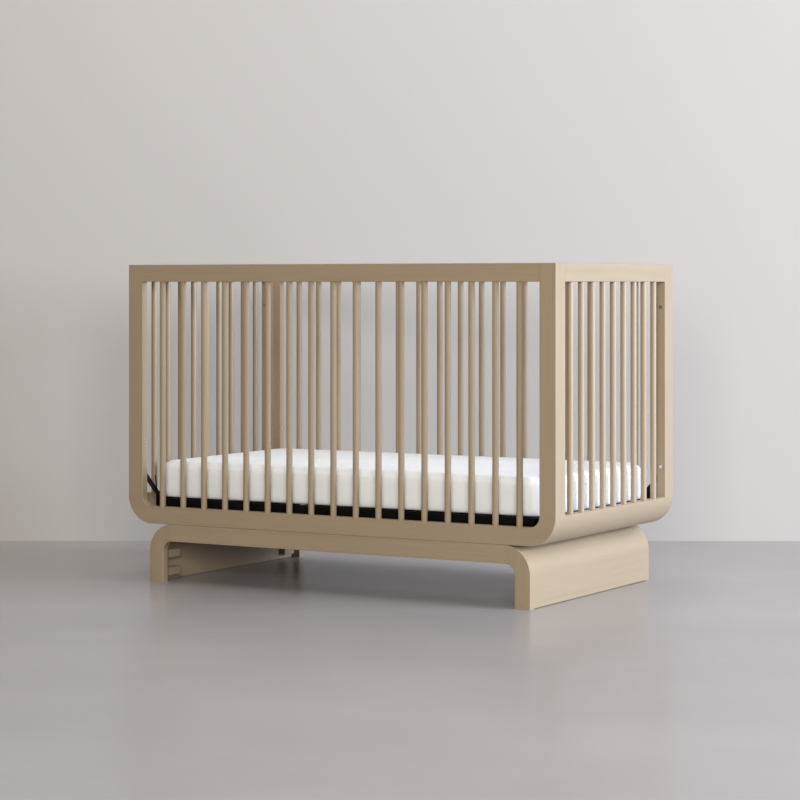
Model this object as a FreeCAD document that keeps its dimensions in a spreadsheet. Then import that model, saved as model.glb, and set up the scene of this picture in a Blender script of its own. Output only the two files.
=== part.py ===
import FreeCAD, Part
import math
import os
import Sketcher

# Baby crib: two long railed sides, two railed ends, a plinth base with rounded shoulders, a steel
# mattress support hung from four brackets, and a mattress. Millimetres, +Z up, +X along the crib,
# -Y is the front. The origin is on the floor under the middle of the crib.

doc = FreeCAD.newDocument("BabyCrib")
sheet = doc.addObject("Spreadsheet::Sheet", "Sizes")


class Size:
    """A number together with the spreadsheet expression that gives it."""

    def __init__(self, value, text=None):
        self.value = float(value)
        self.text = text if text is not None else repr(float(value))

    def join(self, other, sign, value):
        return Size(value, "(%s %s %s)" % (self.text, sign, other.text))

    def __add__(self, other):
        other = as_size(other)
        return self.join(other, "+", self.value + other.value)

    def __sub__(self, other):
        other = as_size(other)
        return self.join(other, "-", self.value - other.value)

    def __mul__(self, other):
        other = as_size(other)
        return self.join(other, "*", self.value * other.value)

    def __truediv__(self, other):
        other = as_size(other)
        return self.join(other, "/", self.value / other.value)


def as_size(number):
    return number if isinstance(number, Size) else Size(number)


DIMENSIONS = {
    # whole crib
    "crib_length": 1430, "crib_depth": 780, "crib_height": 945, "base_height": 173,
    # railed frames
    "frame_thickness": 25.5, "stile_width": 50, "rail_height": 51, "end_stile_width": 32,
    "shoulder_radius": 83, "shoulder_inner_radius": 32, "edge_round": 2, "opening_round": 0.8,
    "spindle_diameter": 18, "socket_diameter": 18.3, "socket_depth": 15, "spindle_play": 0.5,
    "side_pitch": 74.8, "end_pitch": 69.2,
    # base
    "base_inset": 78, "base_thickness": 26, "leg_width": 48, "base_radius": 80,
    "base_inner_radius": 30, "base_rail_height": 51, "base_panel_thickness": 20, "base_panel_lift": 2,
    "block_length": 53, "block_width": 20, "block_height": 24, "block_end": 342,
    "low_block_level": 15, "high_block_level": 68,
    # frame bolts and threaded inserts
    "bolt_diameter": 6, "bolt_hole": 7, "bolt_head": 10, "bolt_head_height": 3, "bolt_grip": 45,
    "insert_diameter": 10, "insert_bore": 6.4, "insert_length": 16,
    "low_bolt_level": 346, "high_bolt_level": 819,
    "small_insert": 8, "small_insert_bore": 5, "small_insert_length": 10, "spare_insert_level": 418,
    "hanger_level": 305, "level_step": 76,
    # mattress support
    "support_length": 1286, "support_depth": 700, "support_shift": 10, "support_top": 246,
    "tube_width": 25, "tube_height": 30, "tube_wall": 2,
    "slat_width": 30, "slat_thickness": 3, "slat_pitch": 96,
    "hanger_width": 22, "hanger_plate": 3, "hanger_gap": 0.3, "hanger_foot": 222, "hanger_toe": 298,
    "hanger_tip": 325, "arm_top": 319.2, "arm_slope": 1.166, "arm_drop": 4.6,
    "lug_width": 3, "lug_plate": 1.5, "lug_setback": 8.2, "lug_lean": 4.5, "lug_root": 2, "lug_top": 314.5,
    "screw_diameter": 4.8, "screw_head": 9, "screw_head_height": 3,
    # mattress
    "mattress_length": 1310, "mattress_width": 692, "mattress_bottom": 246.5, "mattress_height": 106.5,
    "mattress_corner": 50, "mattress_top_round": 20, "mattress_bottom_round": 10,
}
SIDE_SPINDLES = 17
END_SPINDLES = 9
SLATS = 13

for row, (word, number) in enumerate(DIMENSIONS.items(), start=1):
    sheet.set("A%d" % row, word)
    sheet.set("B%d" % row, str(number))
    sheet.setAlias("B%d" % row, word)
doc.recompute()
size = {word: Size(number, "Sizes." + word) for word, number in DIMENSIONS.items()}

ZERO = Size(0)
NODES = []
PLANES = {"front": "XZ_Plane", "side": "YZ_Plane", "flat": "XY_Plane"}


def in_space(plane, across, up, out):
    """A sketch point on a body's plane, moved out along the pad, as a vector in the body."""
    if plane == "front":
        return FreeCAD.Vector(across, out, up)
    if plane == "side":
        return FreeCAD.Vector(out, across, up)
    return FreeCAD.Vector(across, up, out)


def start_body(label):
    body = doc.addObject("PartDesign::Body", label)
    body.Label = label
    NODES.append(body)
    return body


def move(item, x, y, z, direction=(0, 0, 1), turned=False):
    """Put an object at a bound position, its own Z axis along direction, or turned half round."""
    rotation = FreeCAD.Rotation(FreeCAD.Vector(0, 0, 1), FreeCAD.Vector(*direction))
    if turned:
        rotation = FreeCAD.Rotation(FreeCAD.Vector(0, 0, 1), 180)
    item.Placement = FreeCAD.Placement(FreeCAD.Vector(x.value, y.value, z.value), rotation)
    for axis, distance in (("x", x), ("y", y), ("z", z)):
        item.setExpression("Placement.Base." + axis, distance.text)


def sketch_on(body, plane, offset=ZERO):
    sketch = body.newObject("Sketcher::SketchObject", body.Name + "_sketch")
    roles = {feature.Role: feature for feature in body.Origin.OriginFeatures}
    sketch.AttachmentSupport = [(roles[PLANES[plane]], "")]
    sketch.MapMode = "FlatFace"
    sign = "-" if plane == "front" else ""
    sketch.setExpression("AttachmentOffset.Base.z", sign + offset.text)
    return sketch


def bind_length(sketch, constraint, length):
    sketch.setExpression("Constraints[%d]" % sketch.addConstraint(constraint), length.text)


def pin_point(sketch, geometry, point, across, up):
    """Hold one point of the sketch at bound distances from the sketch's axes."""
    for kind, axis, distance in (("DistanceX", -2, across), ("DistanceY", -1, up)):
        if distance is ZERO:
            sketch.addConstraint(Sketcher.Constraint("PointOnObject", geometry, point, axis))
        else:
            held = Sketcher.Constraint(kind, -1, 1, geometry, point, distance.value)
            bind_length(sketch, held, distance)


def quarter_arc(start, end, centre, radius):
    """An arc from start to end, and whether it had to be drawn from end to start."""
    angles = [math.atan2(point[1].value - centre[1].value, point[0].value - centre[0].value)
              for point in (start, end)]
    backwards = (angles[1] - angles[0]) % (2 * math.pi) > math.pi
    if backwards:
        angles.reverse()
    circle = Part.Circle(FreeCAD.Vector(centre[0].value, centre[1].value, 0),
                         FreeCAD.Vector(0, 0, 1), radius.value)
    return Part.ArcOfCircle(circle, *angles), backwards


def draw_outline(sketch, outline):
    """Draw a closed outline. Each corner is (across, up), or (across, up, centre, radius) where the
    side that leaves it is a quarter arc."""
    sides = []
    for index, corner in enumerate(outline):
        following = outline[(index + 1) % len(outline)]
        if len(corner) == 4:
            arc, backwards = quarter_arc(corner, following, corner[2], corner[3])
            geometry = sketch.addGeometry(arc, False)
            bind_length(sketch, Sketcher.Constraint("Radius", geometry, corner[3].value), corner[3])
            sides.append((geometry, 2, 1) if backwards else (geometry, 1, 2))
        else:
            ends = [FreeCAD.Vector(point[0].value, point[1].value, 0) for point in (corner, following)]
            sides.append((sketch.addGeometry(Part.LineSegment(*ends), False), 1, 2))
    for index, (geometry, first, last) in enumerate(sides):
        following = sides[(index + 1) % len(sides)]
        joined = Sketcher.Constraint("Coincident", geometry, last, following[0], following[1])
        sketch.addConstraint(joined)
    for corner, (geometry, first, last) in zip(outline, sides):
        pin_point(sketch, geometry, first, corner[0], corner[1])


def draw_circles(sketch, centres, diameter):
    for across, up in centres:
        middle = FreeCAD.Vector(across.value, up.value, 0)
        circle = Part.Circle(middle, FreeCAD.Vector(0, 0, 1), diameter.value / 2)
        geometry = sketch.addGeometry(circle, False)
        bind_length(sketch, Sketcher.Constraint("Diameter", geometry, diameter.value), diameter)
        pin_point(sketch, geometry, 3, across, up)


def pad(body, plane, outlines, depth, offset=ZERO):
    sketch = sketch_on(body, plane, offset)
    for outline in outlines:
        draw_outline(sketch, outline)
    feature = body.newObject("PartDesign::Pad", body.Name + "_pad")
    feature.Profile = sketch
    feature.setExpression("Length", depth.text)
    feature.Reversed = plane == "front"
    sketch.Visibility = False
    return feature


def fillet_edges(body, names, radius):
    base = body.Tip
    feature = body.newObject("PartDesign::Fillet", body.Name + "_round")
    feature.Base = (base, names)
    feature.setExpression("Radius", radius.text)


def face_edge(outline, side, out):
    """The ends of the edge where one side of an outline meets a flat face of its pad."""
    corners = (outline[side], outline[(side + 1) % len(outline)])
    return [(corner[0], corner[1], out) for corner in corners]


def through_edge(outline, corner, depth):
    """The ends of the edge that one corner of an outline leaves right through its pad."""
    across, up = outline[corner][:2]
    return [(across, up, ZERO), (across, up, depth)]


def round_edges(body, plane, edges, radius):
    """Round the body's edges between the given pairs of ends. An earlier rounding may have moved an
    end a little."""
    doc.recompute()
    reach = size["edge_round"].value * 1.5
    names = []
    for ends in edges:
        places = [in_space(plane, *(distance.value for distance in end)) for end in ends]
        for number, edge in enumerate(body.Tip.Shape.Edges, start=1):
            points = [vertex.Point for vertex in edge.Vertexes]
            if len(points) == 2 and any(all((a - b).Length < reach for a, b in zip(points, order))
                                        for order in (places, places[::-1])):
                names.append("Edge%d" % number)
    if len(names) != len(edges):
        raise RuntimeError("%s: %d edges found for %d" % (body.Label, len(names), len(edges)))
    fillet_edges(body, names, radius)


def drill(body, plane, offset, centres, diameter, depth, reverse):
    """Sink round holes from a plane, and make sure that they took the material they should."""
    doc.recompute()
    before = body.Shape.Volume
    sketch = sketch_on(body, plane, offset)
    draw_circles(sketch, centres, diameter)
    feature = body.newObject("PartDesign::Pocket", body.Name + "_holes")
    feature.Profile = sketch
    feature.setExpression("Length", depth.text)
    feature.Reversed = reverse
    sketch.Visibility = False
    doc.recompute()
    hole = math.pi * diameter.value ** 2 / 4 * depth.value
    taken = before - body.Shape.Volume
    if not 0.9 < taken / (hole * len(centres)) < 1.01:
        raise RuntimeError("%s: holes took %.0f, not %.0f" % (body.Label, taken, hole * len(centres)))


def rectangle(left, bottom, right, top):
    return [(left, bottom), (right, bottom), (right, top), (left, top)]


def board(label, plane, across, up, depth, at, soft, crisp):
    """A straight board, across by up on its plane and depth thick. soft and crisp name its rounded
    edges: a side and how far out the edge lies, or a corner alone for the edge through the board."""
    body = start_body(label)
    outline = rectangle(ZERO, ZERO, across, up)
    pad(body, plane, [outline], depth)
    for chosen, radius in ((soft, size["edge_round"]), (crisp, size["opening_round"])):
        edges = [face_edge(outline, *edge) if len(edge) == 2 else through_edge(outline, *edge, depth)
                 for edge in chosen]
        if edges:
            round_edges(body, plane, edges, radius)
    move(body, *at)
    return body


def shoulder_outline(radius, inner_radius, upright, rail, height):
    """An upright that turns into a rail through a rounded corner, from its outer top corner round."""
    bend = upright + inner_radius
    outline = [(ZERO, radius, (radius, radius), radius), (radius, ZERO), (radius, rail)]
    if bend.value < radius.value:
        outline.append((bend, rail, (bend, rail + inner_radius), inner_radius))
    outline.append((upright, rail + inner_radius))
    if height.value > radius.value:
        outline += [(upright, height), (ZERO, height)]
    return outline


def group(label, items):
    """Separate solids that share one node."""
    compound = doc.addObject("Part::Compound", label)
    compound.Label = label
    compound.Links = items
    NODES.append(compound)
    return compound


def rod(name, diameter, length, at, direction=(0, 0, 1)):
    cylinder = doc.addObject("Part::Cylinder", name)
    cylinder.setExpression("Radius", (diameter / 2).text)
    cylinder.setExpression("Height", length.text)
    move(cylinder, *at, direction=direction)
    return cylinder


def headed_screw(name, head, head_height, diameter, grip, at, direction):
    """A screw at the face under its head, with its shank pointing along direction."""
    shank = rod(name + "_shank", diameter, grip, at, direction)
    cap = rod(name + "_head", head, head_height, at, [-number for number in direction])
    screw = doc.addObject("Part::Fuse", name)
    screw.Base = shank
    screw.Tool = cap
    return screw


def threaded_insert(name, diameter, bore, length, at, direction):
    sleeve = rod(name + "_sleeve", diameter, length, at, direction)
    hole = rod(name + "_bore", bore, length, at, direction)
    insert = doc.addObject("Part::Cut", name)
    insert.Base = sleeve
    insert.Tool = hole
    return insert


def spread(middle, pitch, count):
    """Evenly spaced places about a middle."""
    return [middle + pitch * (index - (count - 1) / 2) for index in range(count)]


half_length = size["crib_length"] / 2
half_depth = size["crib_depth"] / 2
thickness = size["frame_thickness"]
stile = size["stile_width"]
rail = size["rail_height"]
base_top = size["base_height"]
shoulder = size["shoulder_radius"]
stile_foot = base_top + shoulder
stile_length = size["crib_height"] - stile_foot
rail_length = size["crib_length"] - stile * 2
bottom_length = size["crib_length"] - shoulder * 2
socket = (size["socket_diameter"], size["socket_depth"])
top_rail_level = size["crib_height"] - rail
bottom_rail_top = base_top + rail
end_stile = size["end_stile_width"]
end_rail_length = size["crib_depth"] - thickness * 2 - end_stile * 2
panel_depth = size["crib_depth"] - thickness * 2
bolt_levels = [size["low_bolt_level"], size["high_bolt_level"]]
hanger_levels = [size["hanger_level"], size["hanger_level"] + size["level_step"]]
end_middle = thickness / 2

# The sides of a board, and the corners at its top, in the order that they are drawn.
BOTTOM, RIGHT, TOP, LEFT = range(4)
TOP_RIGHT, TOP_LEFT = 2, 3
# The sides of a rounded corner piece or leg.
OUTER_ARC, SHORT_STRETCH, INNER_ARC, INNER_SIDE, OUTER_SIDE = 0, 2, 3, 4, 6


def side_frame(side, pad_start):
    """A long side: two stiles, a top rail, a bottom rail with two rounded corners, and spindles.
    pad_start is where its boards start along Y, and the spindles stand along its middle."""
    outer, inner = (ZERO, thickness) if side == "front" else (thickness, ZERO)
    ends = (("left", half_length * -1, end_middle, stile, LEFT, RIGHT, TOP_LEFT),
            ("right", half_length - stile, stile - end_middle, ZERO, RIGHT, LEFT, TOP_RIGHT))
    for end, left_edge, bolt_place, inner_edge, outer_side, inner_side, top_corner in ends:
        body = board("%s_%s_stile" % (side, end), "front", stile, stile_length, thickness,
                     (left_edge, pad_start, stile_foot),
                     [(outer_side, outer), (TOP, outer), (top_corner,)],
                     [(inner_side, outer), (inner_side, inner), (TOP, inner)])
        holes = [(bolt_place, level - stile_foot) for level in bolt_levels]
        drill(body, "front", inner, holes, size["insert_diameter"], size["insert_length"],
              side == "front")
        spare = [(thickness / 2, size["spare_insert_level"] - stile_foot)]
        drill(body, "side", inner_edge, spare, size["small_insert"], size["small_insert_length"],
              end == "right")
    for end, turned in (("left", False), ("right", True)):
        body = start_body("%s_%s_corner" % (side, end))
        outline = shoulder_outline(shoulder, size["shoulder_inner_radius"], stile, rail, shoulder)
        pad(body, "front", [outline], thickness)
        visible_face = inner if turned else outer
        round_edges(body, "front", [face_edge(outline, OUTER_ARC, visible_face)], size["edge_round"])
        opening = [face_edge(outline, bend, out) for bend in (SHORT_STRETCH, INNER_ARC)
                   for out in (ZERO, thickness)]
        round_edges(body, "front", opening, size["opening_round"])
        if turned:
            move(body, half_length, pad_start + thickness, base_top, turned=True)
        else:
            move(body, half_length * -1, pad_start, base_top)
    rails = (("top", rail_length, top_rail_level, ZERO, True, TOP, BOTTOM, [(TOP, inner)]),
             ("bottom", bottom_length, base_top, rail, False, BOTTOM, TOP, []))
    for end, length, level, socket_face, reverse, outer_side, opening_side, more in rails:
        body = board("%s_%s_rail" % (side, end), "front", length, rail, thickness,
                     (length / -2, pad_start, level), [(outer_side, outer)],
                     [(opening_side, outer), (opening_side, inner)] + more)
        along = spread(length / 2, size["side_pitch"], SIDE_SPINDLES)
        places = [(across, thickness / 2) for across in along]
        drill(body, "flat", socket_face, places, *socket, reverse)
    foot = bottom_rail_top - size["socket_depth"] + size["spindle_play"]
    length = top_rail_level + size["socket_depth"] - size["spindle_play"] - foot
    group("%s_spindles" % side,
          [rod("%s_spindle_%d" % (side, number), size["spindle_diameter"], length,
               (across, pad_start + thickness / 2, foot))
           for number, across in enumerate(spread(ZERO, size["side_pitch"], SIDE_SPINDLES), start=1)])


def end_frame(end, pad_start):
    """A railed end between the long sides: stiles, top rail, spindles and a quarter-round bottom
    rail. pad_start is where its boards start along X."""
    outer, inner = (ZERO, thickness) if end == "left" else (thickness, ZERO)
    front = half_depth * -1 + thickness
    stiles = (("front", front, RIGHT), ("back", half_depth - thickness - end_stile, LEFT))
    for side, place, inner_side in stiles:
        body = board("%s_%s_stile" % (end, side), "side", end_stile, stile_length, thickness,
                     (pad_start, place, stile_foot), [(TOP, outer)],
                     [(inner_side, outer), (inner_side, inner), (TOP, inner)])
        bores = [(end_middle, level - stile_foot) for level in bolt_levels]
        drill(body, "front", ZERO, bores, size["bolt_hole"], end_stile, False)
        holes = [(end_stile / 2, level - stile_foot) for level in hanger_levels]
        drill(body, "side", inner, holes, size["small_insert"], size["small_insert_length"],
              end == "right")
    body = board("%s_top_rail" % end, "side", end_rail_length, rail, thickness,
                 (pad_start, end_rail_length / -2, top_rail_level), [(TOP, outer)],
                 [(BOTTOM, outer), (BOTTOM, inner), (TOP, inner)])
    along = spread(end_rail_length / 2, size["end_pitch"], END_SPINDLES)
    drill(body, "flat", ZERO, [(end_middle, place) for place in along], *socket, True)

    body = start_body("%s_bottom_rail" % end)
    outline = [(ZERO, shoulder, (shoulder, shoulder), shoulder), (shoulder, ZERO),
               (shoulder, thickness, (shoulder, shoulder), shoulder - thickness),
               (thickness, shoulder)]
    pad(body, "front", [outline], panel_depth)
    along = spread(panel_depth / 2, size["end_pitch"], END_SPINDLES)
    drill(body, "flat", shoulder, [(end_middle, place) for place in along], *socket, False)
    if end == "left":
        move(body, pad_start, panel_depth / -2, base_top)
    else:
        move(body, pad_start + thickness, panel_depth / 2, base_top, turned=True)

    foot = stile_foot - size["socket_depth"] + size["spindle_play"]
    length = top_rail_level + size["socket_depth"] - size["spindle_play"] - foot
    group("%s_spindles" % end,
          [rod("%s_spindle_%d" % (end, number), size["spindle_diameter"], length,
               (pad_start + end_middle, along, foot))
           for number, along in enumerate(spread(ZERO, size["end_pitch"], END_SPINDLES), start=1)])


def base_frame():
    """The plinth: two rails, four rounded legs, two end panels with rounded shoulders, and blocks."""
    inset = half_length - size["base_inset"]
    radius = size["base_radius"]
    deep = size["base_thickness"]
    base_rail = size["base_rail_height"]
    straight = inset * 2 - radius * 2
    outline = []
    for across, up, *arc in shoulder_outline(radius, size["base_inner_radius"], size["leg_width"],
                                             base_rail, base_top):
        if arc:
            centre, arc_radius = arc
            outline.append((across, base_top - up, (centre[0], base_top - centre[1]), arc_radius))
        else:
            outline.append((across, base_top - up))
    for side, pad_start in (("front", half_depth * -1), ("back", half_depth - deep)):
        outer, inner = (ZERO, deep) if side == "front" else (deep, ZERO)
        board("base_%s_rail" % side, "front", straight, base_rail, deep,
              (straight / -2, pad_start, base_top - base_rail),
              [(TOP, outer), (BOTTOM, outer), (BOTTOM, inner)], [])
        for end, x, turned in (("left", inset * -1, False), ("right", inset, True)):
            body = start_body("base_%s_%s_leg" % (side, end))
            pad(body, "front", [outline], deep)
            visible_face = inner if turned else outer
            edges = [face_edge(outline, part, visible_face) for part in (OUTER_ARC, OUTER_SIDE)]
            edges += [face_edge(outline, part, out) for part in (SHORT_STRETCH, INNER_ARC, INNER_SIDE)
                      for out in (ZERO, deep)]
            round_edges(body, "front", edges, size["edge_round"])
            move(body, x, pad_start + deep if turned else pad_start, ZERO, turned=turned)

    panel = size["base_panel_thickness"]
    lift = size["base_panel_lift"]
    centre = (radius, base_top - radius)
    profile = [(ZERO, lift), (panel, lift), (panel, base_top - radius, centre, radius - panel),
               (radius, base_top - panel), (radius, base_top, centre, radius), (ZERO, base_top - radius)]
    panel_width = size["crib_depth"] - deep * 2
    for end, x, y, turned in (("left", inset * -1, panel_width / -2, False),
                              ("right", inset, panel_width / 2, True)):
        body = start_body("base_%s_panel" % end)
        pad(body, "front", [profile], panel_width)
        move(body, x, y, ZERO, turned=turned)

    blocks = []
    wide = size["block_width"]
    long = size["block_length"]
    for level in (size["low_block_level"], size["high_block_level"]):
        for x in (inset * -1 + panel, inset - panel - wide):
            for y in (size["block_end"] * -1, size["block_end"] - long):
                block = doc.addObject("Part::Box", "block_%d" % (len(blocks) + 1))
                for side, distance in (("Length", wide), ("Width", long),
                                       ("Height", size["block_height"])):
                    block.setExpression(side, distance.text)
                move(block, x, y, level)
                blocks.append(block)
    group("base_glue_blocks", blocks)


def frame_hardware():
    """Bolts through the end stiles into inserts in the long sides, and the hangers' inserts."""
    bolts = []
    inserts = []
    hanger_inserts = []
    spare_inserts = []
    for x_sign in (-1, 1):
        bolt_x = (half_length - end_middle) * x_sign
        end_face = (half_length - thickness) * x_sign
        stile_edge = (half_length - stile) * x_sign
        for y_sign in (-1, 1):
            head_face = (half_depth - thickness - end_stile) * y_sign
            side_face = (half_depth - thickness) * y_sign
            outward = (0, y_sign, 0)
            for level in bolt_levels:
                number = len(bolts) + 1
                bolts.append(headed_screw("bolt_%d" % number, size["bolt_head"], size["bolt_head_height"],
                                          size["bolt_diameter"], size["bolt_grip"],
                                          (bolt_x, head_face, level), outward))
                inserts.append(threaded_insert("insert_%d" % number, size["insert_diameter"],
                                               size["insert_bore"], size["insert_length"],
                                               (bolt_x, side_face, level), outward))
            small = (size["small_insert"], size["small_insert_bore"], size["small_insert_length"])
            hanger_y = (half_depth - thickness - end_stile / 2) * y_sign
            for level in hanger_levels:
                name = "hanger_insert_%d" % (len(hanger_inserts) + 1)
                at = (end_face, hanger_y, level)
                hanger_inserts.append(threaded_insert(name, *small, at, (x_sign, 0, 0)))
            name = "spare_insert_%d" % (len(spare_inserts) + 1)
            at = (stile_edge, (half_depth - thickness / 2) * y_sign, size["spare_insert_level"])
            spare_inserts.append(threaded_insert(name, *small, at, (x_sign, 0, 0)))
    group("frame_bolts", bolts)
    group("frame_inserts", inserts)
    group("hanger_inserts", hanger_inserts)
    group("spare_inserts", spare_inserts)


def hanger_outlines(reach):
    """A hanger seen from the front, from its screwed flange in to the welded tab at reach, with a
    sloping arm between them, and the thin lug that stands on the arm beside the mattress."""
    plate = size["hanger_plate"]
    foot = size["hanger_foot"]
    tab = reach - plate
    slope = size["arm_slope"]

    def arm_level(across):
        return size["arm_top"] - (across - plate) * slope

    bracket = [(ZERO, size["hanger_toe"]), (plate, size["hanger_toe"]),
               (plate, size["arm_top"] - size["arm_drop"]), (tab, arm_level(tab) - size["arm_drop"]),
               (tab, foot), (reach, foot), (reach, arm_level(reach)), (plate, size["arm_top"]),
               (plate, size["hanger_tip"]), (ZERO, size["hanger_tip"])]
    root = reach - size["lug_setback"]
    lean = size["lug_lean"]
    thin = size["lug_plate"]
    sunk = arm_level(root) - size["lug_root"]
    lug = [(root - thin, sunk), (root, sunk), (root - lean, size["lug_top"]),
           (root - lean - thin, size["lug_top"])]
    return bracket, lug


def mattress_support():
    """A welded tube frame with flat slats, a little off the crib's middle, hung from four hangers."""
    length = size["support_length"]
    depth = size["support_depth"]
    shift = size["support_shift"]
    wide = size["tube_width"]
    wall = size["tube_wall"]
    tall = size["tube_height"]
    floor = size["support_top"] - tall
    left_end = shift - length / 2
    right_end = shift + length / 2
    tube = [rectangle(ZERO, ZERO, wide, tall), rectangle(wall, wall, wide - wall, tall - wall)]
    for side, y in (("front", depth / -2), ("back", depth / 2 - wide)):
        body = start_body("support_%s_tube" % side)
        pad(body, "side", tube, length - wide * 2)
        move(body, left_end + wide, y, floor)
    for end, x in (("left", left_end), ("right", right_end - wide)):
        body = start_body("support_%s_tube" % end)
        pad(body, "front", tube, depth)
        move(body, x, depth / -2, floor)

    slats = []
    slat_width = size["slat_width"]
    slat_thickness = size["slat_thickness"]
    for middle in spread(shift, size["slat_pitch"], SLATS):
        slat = doc.addObject("Part::Box", "slat_%d" % (len(slats) + 1))
        for side, distance in (("Length", slat_width), ("Width", depth - wide * 2),
                               ("Height", slat_thickness)):
            slat.setExpression(side, distance.text)
        move(slat, middle - slat_width / 2, depth / -2 + wide, size["support_top"] - slat_thickness)
        slats.append(slat)
    group("support_slats", slats)

    width = size["hanger_width"]
    plate = size["hanger_plate"]
    hang = half_length - thickness - size["hanger_gap"]
    middle = half_depth - thickness - end_stile / 2
    screws = []
    for side, y_sign in (("front", -1), ("back", 1)):
        for end, x_sign, reach in (("left", -1, hang + left_end), ("right", 1, hang - right_end)):
            body = start_body("hanger_%s_%s" % (side, end))
            bracket, lug = hanger_outlines(reach)
            pad(body, "front", [bracket], width)
            pad(body, "front", [lug], size["lug_width"], (width - size["lug_width"]) / 2)
            drill(body, "side", ZERO, [(width / 2, size["hanger_level"])], size["small_insert_bore"],
                  plate, True)
            y_start = middle * y_sign - width / 2
            if x_sign < 0:
                move(body, hang * -1, y_start, ZERO)
            else:
                move(body, hang, y_start + width, ZERO, turned=True)
            screws.append(headed_screw("hanger_screw_%d" % (len(screws) + 1), size["screw_head"],
                                       size["screw_head_height"], size["screw_diameter"], plate,
                                       ((hang - plate) * x_sign, middle * y_sign, size["hanger_level"]),
                                       (x_sign, 0, 0)))
    group("hanger_screws", screws)


def mattress():
    body = start_body("mattress")
    length = size["mattress_length"]
    width = size["mattress_width"]
    corner = size["mattress_corner"]
    outline = []
    for across, up, x_sign, y_sign in ((ZERO, ZERO, 1, 1), (length, ZERO, -1, 1),
                                       (length, width, -1, -1), (ZERO, width, 1, -1)):
        centre = (across + corner * x_sign, up + corner * y_sign)
        beside = (across, centre[1])
        below = (centre[0], up)
        first, last = (beside, below) if x_sign * y_sign > 0 else (below, beside)
        outline += [(first[0], first[1], centre, corner), last]
    pad(body, "flat", [outline], size["mattress_height"])
    for level, radius in ((size["mattress_height"], size["mattress_top_round"]),
                          (ZERO, size["mattress_bottom_round"])):
        doc.recompute()
        rim = ["Edge%d" % number for number, edge in enumerate(body.Shape.Edges, start=1)
               if all(abs(vertex.Z - level.value) < 0.01 for vertex in edge.Vertexes)]
        fillet_edges(body, rim, radius)
    move(body, length / -2, width / -2, size["mattress_bottom"])


side_frame("front", half_depth * -1)
side_frame("back", half_depth - thickness)
end_frame("left", half_length * -1)
end_frame("right", half_length - thickness)
base_frame()
frame_hardware()
mattress_support()
mattress()

doc.recompute()
for item in doc.Objects:
    if "Invalid" in item.State or "Error" in item.State:
        raise RuntimeError("%s failed: %s" % (item.Label, item.State))
for node in NODES:
    if node.Shape.isNull() or not node.Shape.isValid():
        raise RuntimeError("%s has no valid shape" % node.Label)

os.makedirs("parts", exist_ok=True)
for node in NODES:
    node.Shape.exportStep("parts/%s.step" % node.Label)
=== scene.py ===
import math

import bpy
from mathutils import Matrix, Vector


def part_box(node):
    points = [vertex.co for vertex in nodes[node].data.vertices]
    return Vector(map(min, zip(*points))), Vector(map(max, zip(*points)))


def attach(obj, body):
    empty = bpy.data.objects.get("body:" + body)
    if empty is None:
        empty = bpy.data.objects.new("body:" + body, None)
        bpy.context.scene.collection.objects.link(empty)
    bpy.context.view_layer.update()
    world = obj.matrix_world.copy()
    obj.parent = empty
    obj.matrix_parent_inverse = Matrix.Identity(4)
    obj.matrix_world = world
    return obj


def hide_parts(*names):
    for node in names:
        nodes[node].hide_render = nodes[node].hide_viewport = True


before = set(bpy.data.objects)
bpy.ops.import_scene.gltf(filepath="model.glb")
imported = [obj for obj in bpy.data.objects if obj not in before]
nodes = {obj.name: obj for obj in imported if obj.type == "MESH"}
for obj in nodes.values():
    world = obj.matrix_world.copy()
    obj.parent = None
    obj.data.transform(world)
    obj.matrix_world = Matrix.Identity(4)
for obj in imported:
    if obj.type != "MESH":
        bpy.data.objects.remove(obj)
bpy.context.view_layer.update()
scene = bpy.context.scene


# Materials. Colours are linear RGB, texture scales are per metre, bump distances are in metres.

WOOD_PALE = (0.345, 0.258, 0.165)
WOOD_WARM = (0.367, 0.279, 0.182)
WOOD_DARK = (0.294, 0.215, 0.132)
WOOD_PORE = (0.212, 0.148, 0.088)
# The furthest that a piece's own random number moves its grain, so that no two pieces match.
GRAIN_SHIFT = (3.7, 5.3, 9.1)
BLACK = (0.0030, 0.0027, 0.0024)
BLACK_DUSTY = (0.0070, 0.0063, 0.0058)
ZINC_DULL = (0.62, 0.62, 0.60)
ZINC_BRIGHT = (0.78, 0.78, 0.75)
COTTON_CREAM = (0.80, 0.795, 0.77)
COTTON_WHITE = (0.86, 0.857, 0.835)
THREADS = 380.0
CONCRETE_DARK = (0.355, 0.330, 0.318)
CONCRETE_LIGHT = (0.41, 0.375, 0.360)
WALL_PAINT = (0.455, 0.415, 0.372)


def new_material(name):
    material = bpy.data.materials.new(name)
    material.use_nodes = True
    tree = material.node_tree
    shader = tree.nodes["Principled BSDF"]
    return material, tree, shader


def add(tree, kind, inputs=None, **settings):
    """A node with its settings and its inputs, where an input is a value or another node's output."""
    node = tree.nodes.new(kind)
    for key, value in settings.items():
        setattr(node, key, value)
    for key, value in (inputs or {}).items():
        if isinstance(value, bpy.types.NodeSocket):
            tree.links.new(value, node.inputs[key])
        else:
            node.inputs[key].default_value = value
    return node


def object_place(tree):
    """The shaded point's place on its own piece."""
    return add(tree, "ShaderNodeTexCoord").outputs["Object"]


def cloudy(tree, place, scale, detail):
    inputs = {"Vector": place, "Scale": scale, "Detail": detail}
    return add(tree, "ShaderNodeTexNoise", inputs).outputs["Fac"]


def ramp(tree, factor, stops):
    """The colour at a factor, between stops that each have a position and a colour."""
    node = add(tree, "ShaderNodeValToRGB", {"Fac": factor})
    elements = node.color_ramp.elements
    while len(elements) < len(stops):
        elements.new(0.5)
    for element, (position, colour) in zip(elements, stops):
        element.position = position
        element.color = (*colour, 1)
    return node.outputs["Color"]


def grey(level):
    return (level, level, level)


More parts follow.
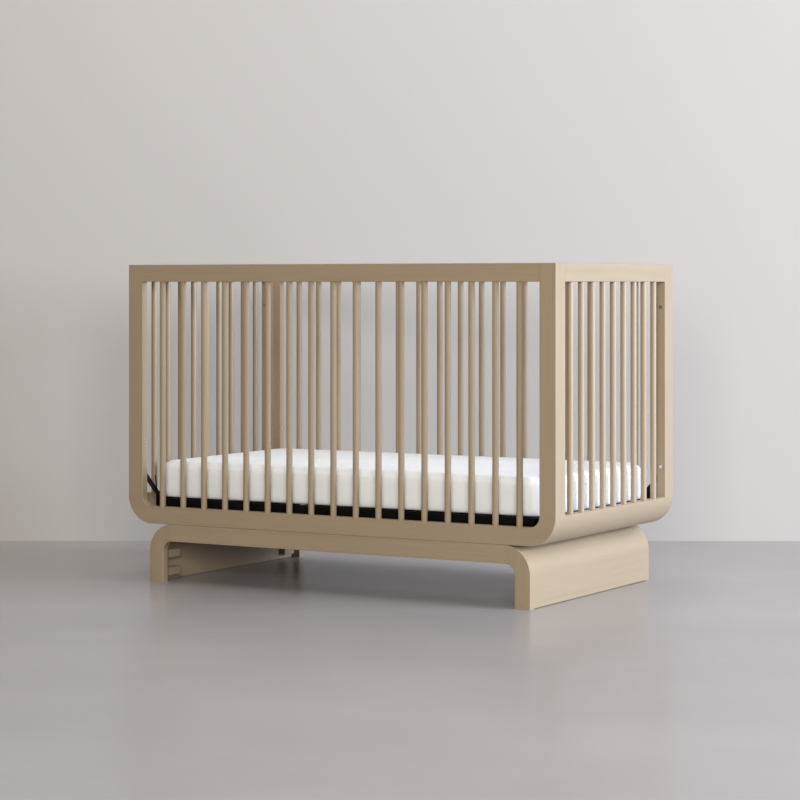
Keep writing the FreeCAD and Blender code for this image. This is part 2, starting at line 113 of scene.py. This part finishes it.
def mix(tree, factor, first, second, blend="MIX"):
    """Two colours blended, where each argument is a value or another node's output."""
    node = add(tree, "ShaderNodeMix", data_type="RGBA", blend_type=blend)
    for key, value in (("Factor", factor), ("A", first), ("B", second)):
        socket = next(s for s in node.inputs if s.name == key and s.enabled)
        if isinstance(value, bpy.types.NodeSocket):
            tree.links.new(value, socket)
        elif key == "Factor":
            socket.default_value = value
        else:
            socket.default_value = (*value, 1)
    return next(s for s in node.outputs if s.enabled)


def uneven_roughness(tree, shader, value, smoothest, roughest, start=0.0, end=1.0):
    """Roughness from smoothest to roughest while the value goes from start to end."""
    inputs = {"Value": value, "From Min": start, "From Max": end, "To Min": smoothest, "To Max": roughest}
    rough = add(tree, "ShaderNodeMapRange", inputs).outputs["Result"]
    tree.links.new(rough, shader.inputs["Roughness"])


def bumps(tree, shader, height, strength, distance):
    inputs = {"Height": height, "Strength": strength, "Distance": distance}
    normal = add(tree, "ShaderNodeBump", inputs).outputs["Normal"]
    tree.links.new(normal, shader.inputs["Normal"])


def wood(name, grain_axis):
    """Pale satin hardwood with its grain along one axis: long growth bands, fine fibre, and short
    dark pores."""
    material, tree, shader = new_material(name)
    place = object_place(tree)
    chance = add(tree, "ShaderNodeObjectInfo").outputs["Random"]
    shift = add(tree, "ShaderNodeVectorMath", {0: GRAIN_SHIFT}, operation="SCALE")
    tree.links.new(chance, shift.inputs["Scale"])
    moved = add(tree, "ShaderNodeVectorMath", {0: place, 1: shift.outputs[0]}, operation="ADD").outputs[0]

    def grain(along, across, **settings):
        """Noise drawn out along the grain, by its scales along and across it."""
        scale = [across] * 3
        scale["XYZ".index(grain_axis)] = along
        drawn = add(tree, "ShaderNodeVectorMath", {0: moved, 1: tuple(scale)}, operation="MULTIPLY")
        inputs = {"Vector": drawn.outputs[0], "Scale": 1.0, **settings}
        return add(tree, "ShaderNodeTexNoise", inputs).outputs["Fac"]

    bands = grain(along=0.9, across=24, Detail=3.0, Roughness=0.55, Distortion=0.4)
    fibre = grain(along=5, across=380, Detail=4.0, Roughness=0.6)
    pores = grain(along=45, across=1500, Detail=1.0)
    patches = grain(along=1.5, across=5, Detail=2.0)

    rings = ramp(tree, bands, [(0.30, WOOD_DARK), (0.44, WOOD_PALE), (0.56, WOOD_PALE),
                               (0.66, WOOD_DARK), (0.74, WOOD_PALE)])
    warmth = ramp(tree, patches, [(0.3, grey(0.45)), (0.7, grey(0.75))])
    tone = mix(tree, warmth, rings, WOOD_WARM)
    fibre_depth = ramp(tree, fibre, [(0.35, grey(0.35)), (0.62, grey(0.0))])
    streaks = mix(tree, fibre_depth, tone, WOOD_DARK)
    pore_depth = ramp(tree, pores, [(0.27, grey(0.30)), (0.34, grey(0.0))])
    colour = mix(tree, pore_depth, streaks, WOOD_PORE)
    tree.links.new(colour, shader.inputs["Base Color"])

    uneven_roughness(tree, shader, fibre, 0.36, 0.48, start=0.3, end=0.7)
    relief = add(tree, "ShaderNodeMath", {0: fibre, 1: pores}, operation="ADD").outputs[0]
    bumps(tree, shader, relief, strength=0.10, distance=0.0005)
    return material


def black_steel():
    material, tree, shader = new_material("black_powder_coat")
    place = object_place(tree)
    orange_peel = cloudy(tree, place, 900.0, 2.0)
    dust = cloudy(tree, place, 14.0, 5.0)
    tree.links.new(ramp(tree, dust, [(0.35, BLACK), (0.75, BLACK_DUSTY)]), shader.inputs["Base Color"])
    uneven_roughness(tree, shader, dust, 0.50, 0.70)
    shader.inputs["Specular IOR Level"].default_value = 0.2
    bumps(tree, shader, orange_peel, strength=0.15, distance=0.0004)
    return material


def zinc_steel():
    material, tree, shader = new_material("zinc_plated_steel")
    inputs = {"Vector": object_place(tree), "Scale": 500.0}
    spangle = add(tree, "ShaderNodeTexVoronoi", inputs).outputs["Distance"]
    colour = ramp(tree, spangle, [(0.0, ZINC_DULL), (0.6, ZINC_BRIGHT)])
    tree.links.new(colour, shader.inputs["Base Color"])
    uneven_roughness(tree, shader, spangle, 0.28, 0.42)
    shader.inputs["Metallic"].default_value = 1.0
    return material


def white_cover():
    material, tree, shader = new_material("white_cotton_cover")
    place = object_place(tree)
    inputs = {"Vector": place, "Scale": THREADS, "Distortion": 0.6, "Detail": 1.0, "Detail Scale": 2.0}
    threads = [add(tree, "ShaderNodeTexWave", inputs, wave_type="BANDS", bands_direction=direction)
               .outputs["Fac"] for direction in ("X", "Y", "Z")]
    crossed = add(tree, "ShaderNodeMath", {0: threads[0], 1: threads[1]}, operation="ADD").outputs[0]
    weave = add(tree, "ShaderNodeMath", {0: crossed, 1: threads[2]}, operation="ADD").outputs[0]
    clean = ramp(tree, cloudy(tree, place, 9.0, 4.0), [(0.3, COTTON_CREAM), (0.7, COTTON_WHITE)])
    shaded = ramp(tree, weave, [(0.1, grey(0.93)), (0.6, grey(1.0))])
    tree.links.new(mix(tree, 1.0, clean, shaded, "MULTIPLY"), shader.inputs["Base Color"])
    shader.inputs["Roughness"].default_value = 0.9
    shader.inputs["Sheen Weight"].default_value = 0.25
    shader.inputs["Sheen Roughness"].default_value = 0.5
    bumps(tree, shader, weave, strength=0.2, distance=0.0004)
    return material


def floor_material():
    material, tree, shader = new_material("floor_concrete")
    clouds = cloudy(tree, object_place(tree), 1.3, 5.0)
    colour = ramp(tree, clouds, [(0.3, CONCRETE_DARK), (0.7, CONCRETE_LIGHT)])
    tree.links.new(colour, shader.inputs["Base Color"])
    shader.inputs["Roughness"].default_value = 0.25
    shader.inputs["Specular IOR Level"].default_value = 0.2
    return material


def backdrop_material():
    """Matt paint on the side that faces the crib, and nothing on the other, for views from behind."""
    material, tree, shader = new_material("backdrop_paint")
    shader.inputs["Base Color"].default_value = (*WALL_PAINT, 1)
    shader.inputs["Roughness"].default_value = 0.8
    behind = add(tree, "ShaderNodeNewGeometry").outputs["Backfacing"]
    clear = add(tree, "ShaderNodeBsdfTransparent").outputs["BSDF"]
    either = add(tree, "ShaderNodeMixShader", {0: behind, 1: shader.outputs["BSDF"], 2: clear})
    tree.links.new(either.outputs["Shader"], tree.nodes["Material Output"].inputs["Surface"])
    return material


# The CAD nodes: each wooden piece has its grain along its length.

ZINC_PLATED = ("frame_bolts", "frame_inserts", "hanger_inserts", "spare_inserts")
BLACK_COATED = ("support_", "hanger_")
UPRIGHT = ("_stile", "_spindles", "_leg")
FRONT_TO_BACK = ("_panel", "left_top_rail", "right_top_rail", "left_bottom_rail", "right_bottom_rail",
                 "base_glue_blocks")

grain_across = wood("wood_grain_along_x", "X")
grain_deep = wood("wood_grain_along_y", "Y")
grain_up = wood("wood_grain_along_z", "Z")
steel = black_steel()
zinc = zinc_steel()
cover = white_cover()


def material_of(name):
    if name in ZINC_PLATED:
        return zinc
    if name.startswith(BLACK_COATED):
        return steel
    if name.endswith(UPRIGHT):
        return grain_up
    if name.endswith(FRONT_TO_BACK):
        return grain_deep
    return grain_across


for name in nodes:
    if name != "mattress":
        mesh = nodes[name].data
        mesh.materials.clear()
        mesh.materials.append(material_of(name))


# The mattress. SHRINK is what comes off its length and width at each end, and half of that comes off
# its top and its bottom. Lengths are in metres.

SHRINK = 0.003
VOXEL = 0.010
PRESSURE = 4.0
LAST_FRAME = 20
MOST_SWELLING = 0.005


def link(obj):
    scene.collection.objects.link(obj)
    return obj


def swell(pad):
    """Blow the pad up as cloth, and let each point move outwards a little, but not below the face
    that the pad rests on."""
    pad.data.update()
    start = [(vertex.co.copy(), vertex.normal.copy()) for vertex in pad.data.vertices]
    underside = min(place.z for place, normal in start)
    cloth = pad.modifiers.new("swell", "CLOTH")
    cloth.settings.use_pressure = True
    cloth.settings.uniform_pressure_force = PRESSURE
    cloth.settings.effector_weights.gravity = 0
    for number in range(1, LAST_FRAME + 1):
        scene.frame_set(number)
    swollen = pad.evaluated_get(bpy.context.evaluated_depsgraph_get())
    moved = [vertex.co.copy() for vertex in swollen.data.vertices]
    pad.modifiers.remove(cloth)
    scene.frame_set(1)
    for vertex, (place, normal), after in zip(pad.data.vertices, start, moved):
        outwards = (after - place).dot(normal)
        vertex.co = place + normal * min(max(outwards, 0), MOST_SWELLING)
        vertex.co.z = max(vertex.co.z, underside)


def apply_modifiers(piece):
    """Replace the piece's mesh by what its modifiers make of it."""
    graph = bpy.context.evaluated_depsgraph_get()
    graph.update()
    made = bpy.data.meshes.new_from_object(piece.evaluated_get(graph))
    piece.modifiers.clear()
    piece.data = made


def make_mattress():
    """The foam mattress in its plain cover: the CAD shape, a little smaller, remeshed and swollen."""
    low, high = (Vector(corner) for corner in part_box("mattress"))
    middle = (low + high) / 2
    pad = link(bpy.data.objects.new("mattress_pad", nodes["mattress"].data.copy()))
    for vertex in pad.data.vertices:
        for axis in range(3):
            half = (high[axis] - low[axis]) / 2
            pull = SHRINK if axis < 2 else SHRINK / 2
            vertex.co[axis] = middle[axis] + (vertex.co[axis] - middle[axis]) * (1 - pull / half)
    remesh = pad.modifiers.new("even_mesh", "REMESH")
    remesh.mode = "VOXEL"
    remesh.voxel_size = VOXEL
    apply_modifiers(pad)
    swell(pad)
    pad.modifiers.new("smooth", "SUBSURF").levels = 1
    apply_modifiers(pad)
    pad.data.materials.clear()
    pad.data.materials.append(cover)
    for polygon in pad.data.polygons:
        polygon.use_smooth = True
    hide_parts("mattress")
    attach(pad, "mattress")


make_mattress()


# The studio: camera, floor, backdrop and lights. Places are in the part's own frame, in metres.

TURN = math.radians(30.21)
CAMERA_PLACE = Vector((3.637, -6.246, 0.8885))
FORWARD = Vector((-math.sin(TURN), math.cos(TURN), 0))
RIGHT = Vector((math.cos(TURN), math.sin(TURN), 0))
UP = Vector((0, 0, 1))
BACKDROP_DISTANCE = 8.34
BACKDROP_HEIGHT = 8
HALF_WIDTH = 9
FLOOR_BEFORE_BACKDROP = 16
FLOOR_BEHIND_BACKDROP = 12
# The front lamp hangs behind and above the camera, and the wash lamp high in front of the backdrop.
FRONT_LAMP_PLACE = CAMERA_PLACE - FORWARD * 1.5 + UP * 1.5
WASH_LAMP_PLACE = CAMERA_PLACE + FORWARD * 7.3 + UP * 3.6

camera = link(bpy.data.objects.new("camera", bpy.data.cameras.new("camera")))
camera.location = CAMERA_PLACE
camera.rotation_euler = (math.radians(90), 0, TURN)
camera.data.lens = 108.7
camera.data.sensor_width = 36
camera.data.shift_y = -0.1455
camera.data.clip_end = 60
scene.camera = camera


def plane(name, corners, material):
    mesh = bpy.data.meshes.new(name)
    mesh.from_pydata([tuple(corner) for corner in corners], [], [(0, 1, 2, 3)])
    mesh.materials.append(material)
    obj = link(bpy.data.objects.new(name, mesh))


def area_light(name, place, target, size, power, colour=(1, 1, 1)):
    data = bpy.data.lights.new(name, "AREA")
    data.shape = "RECTANGLE"
    data.size, data.size_y = size
    data.energy = power
    data.color = colour
    lamp = link(bpy.data.objects.new(name, data))
    lamp.location = place
    lamp.rotation_mode = "QUATERNION"
    lamp.rotation_quaternion = (Vector(target) - Vector(place)).to_track_quat("-Z", "Y")
    return lamp


foot = CAMERA_PLACE + FORWARD * BACKDROP_DISTANCE
foot.z = 0
left_foot = foot - RIGHT * HALF_WIDTH
right_foot = foot + RIGHT * HALF_WIDTH
before = FORWARD * FLOOR_BEFORE_BACKDROP
beyond = FORWARD * FLOOR_BEHIND_BACKDROP
plane("floor", [left_foot - before, right_foot - before, right_foot + beyond, left_foot + beyond],
      floor_material())
rise = UP * BACKDROP_HEIGHT
plane("backdrop", [left_foot, right_foot, right_foot + rise, left_foot + rise], backdrop_material())

area_light("window_right", (8.5, 1.2, 2.2), (0, 0, 0.6), (5.0, 3.0), 1280, (0.71, 0.82, 1.0))
area_light("overhead", (0.5, -1.0, 4.5), (0, 0, 0), (5.0, 5.0), 80)
room_front = area_light("room_front", FRONT_LAMP_PLACE, (0, 0, 0.5), (4.0, 2.5), 540, (1.0, 0.985, 0.96))
room_front.visible_glossy = False  # its reflection in the floor would dazzle in views from behind
area_light("wall_wash", WASH_LAMP_PLACE, CAMERA_PLACE + FORWARD * BACKDROP_DISTANCE, (5.0, 0.6), 15)

world = bpy.data.worlds.new("studio")
world.use_nodes = True
background = world.node_tree.nodes["Background"]
background.inputs["Color"].default_value = (0.9, 0.92, 0.95, 1)
background.inputs["Strength"].default_value = 0.03
scene.world = world
scene.view_settings.view_transform = "Standard"
